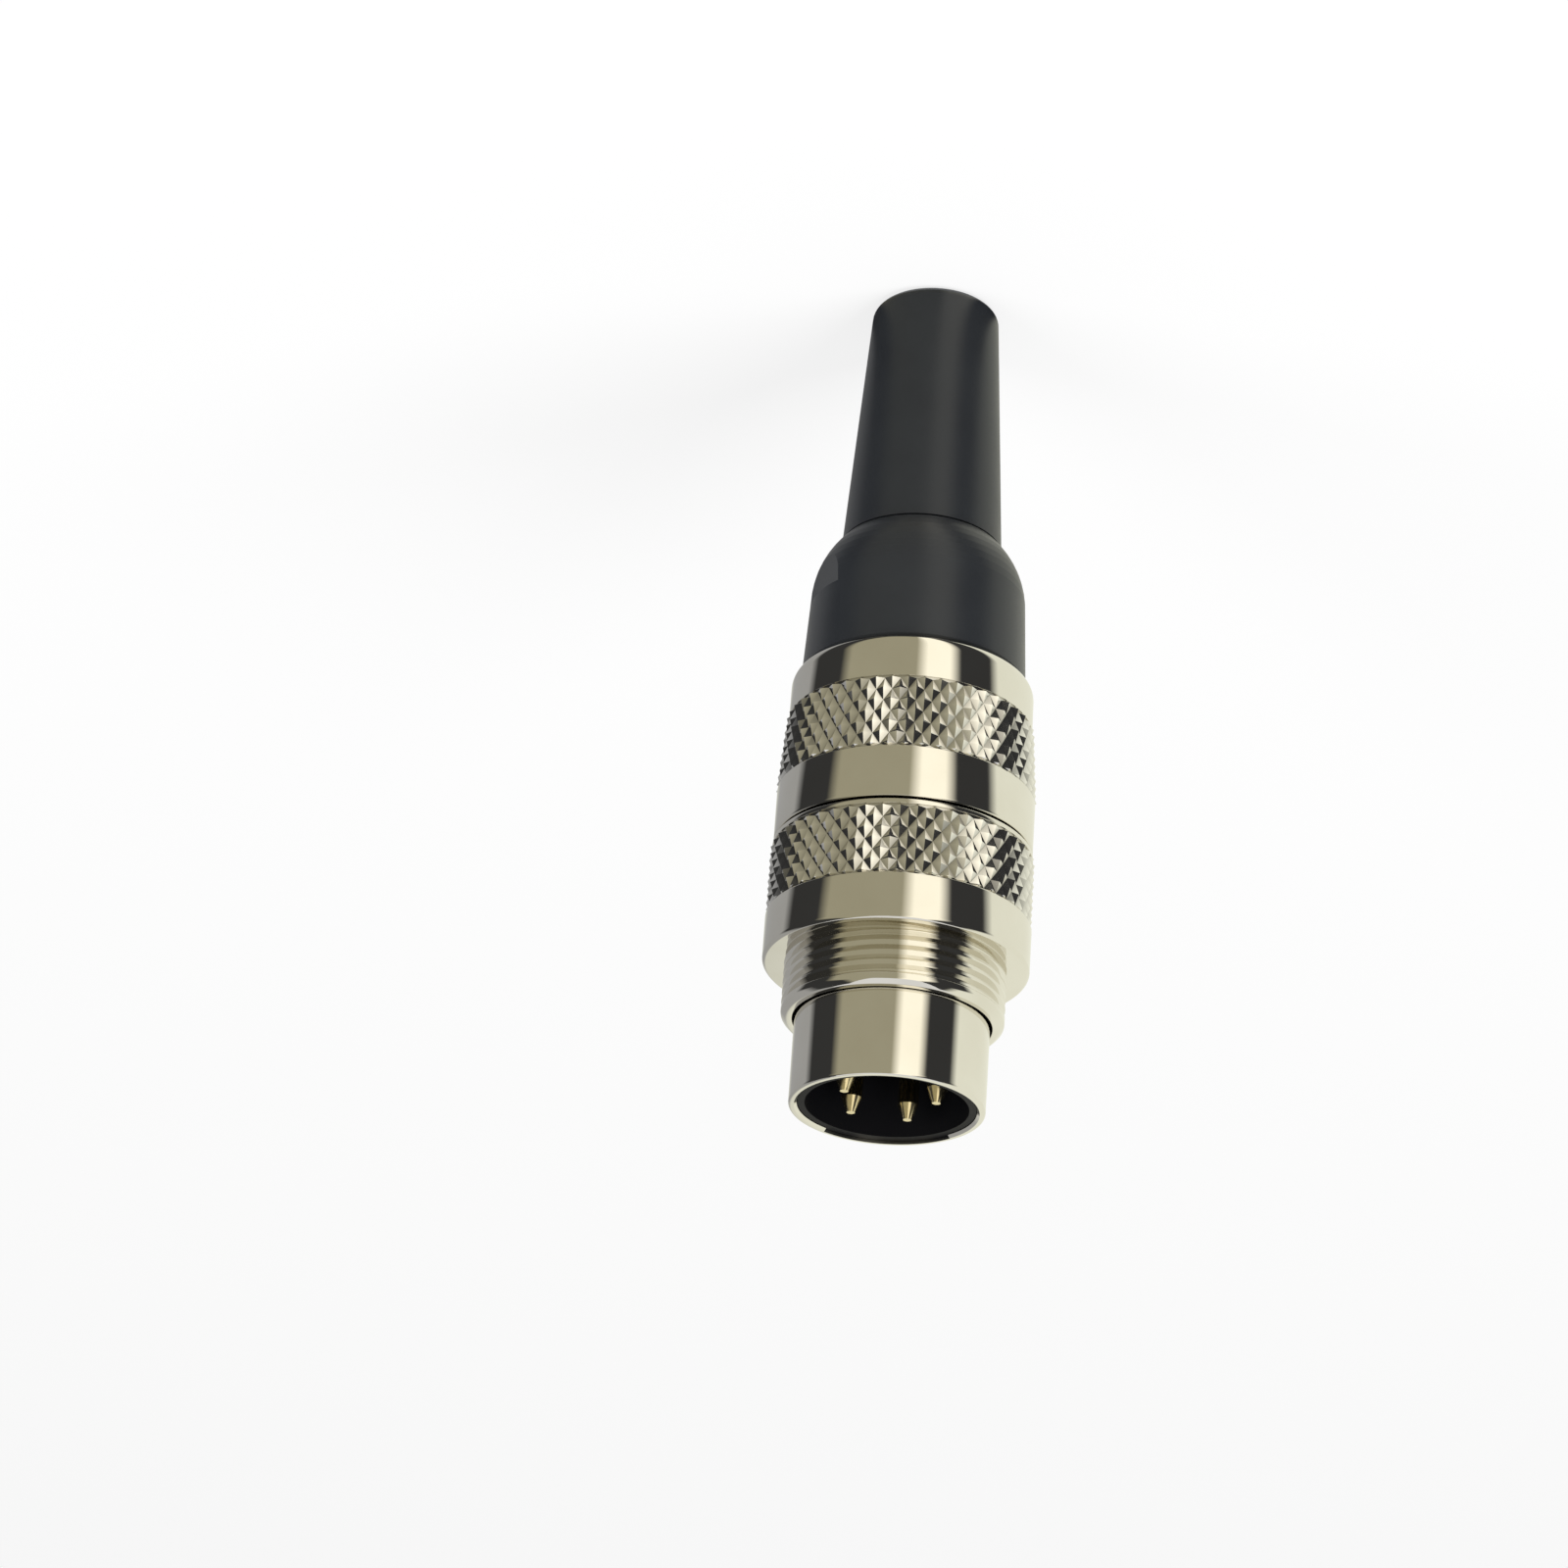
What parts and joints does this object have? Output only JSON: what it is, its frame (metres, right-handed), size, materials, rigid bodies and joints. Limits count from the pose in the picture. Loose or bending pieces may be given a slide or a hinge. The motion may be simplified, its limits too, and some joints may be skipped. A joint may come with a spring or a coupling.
{
  "type": "circular cable plug",
  "caption": "Straight male circular cable plug: bright plated barrel with recessed pins, knurled screw coupling ring, knurled rear sleeve, black gland nut and tapered bend relief.",
  "frame": {"origin": "centre of the cable end of the bend relief, on which the plug stands", "axes": "+Z along the plug's axis, out of the mating face; +Y towards the keyed side of the barrel"},
  "size_m": [0.0192, 0.0192, 0.065],
  "materials": {
    "nickel_plate": "bright nickel plate on turned brass",
    "black_insulator": "moulded black thermoset",
    "spring_steel": "plain",
    "contact_plating": "pale gold plate",
    "ivory_plastic": "smooth",
    "seal_rubber": "soft rubber",
    "clamp_plastic": "moulded nylon",
    "nut_plastic": "satin moulded nylon",
    "relief_rubber": "satin soft rubber"
  },
  "bodies": {
    "plug": {"front_shell": "nickel_plate", "front_insulator": "black_insulator", "rear_insulator": "black_insulator", "insulator_snap_ring": "spring_steel", "contact_pin_1": "contact_plating", "contact_pin_2": "contact_plating", "contact_pin_3": "contact_plating", "contact_pin_4": "contact_plating", "coupling_clip": "spring_steel", "rear_sleeve": "nickel_plate", "insulating_sleeve": "ivory_plastic", "screen_ring": "spring_steel", "cable_seal": "seal_rubber", "slip_washer": "spring_steel", "clamp_basket": "clamp_plastic"},
    "coupling": {"coupling_ring": "nickel_plate"},
    "strain_relief": {"bend_relief": "relief_rubber", "pinch_ring": "spring_steel"},
    "gland": {"gland_nut": "nut_plastic"}
  },
  "joints": [
    {"name": "coupling_spin", "type": "hinge", "parent": "plug", "child": "coupling", "pos_m": [0, 0, 0.0513], "axis": [0, 0, 1], "continuous": true},
    {"name": "nut_travel", "type": "slide", "parent": "plug", "child": "strain_relief", "axis": [0, 0, -1], "range_m": [0, 0.004]},
    {"name": "nut_turn", "type": "hinge", "parent": "strain_relief", "child": "gland", "pos_m": [0, 0, 0.0222], "axis": [0, 0, -1], "range_deg": [0, 1440]}
  ],
  "couplings": [
    {"joint": "nut_turn", "follows": "nut_travel", "rad_per_m": 6283.1}
  ]
}
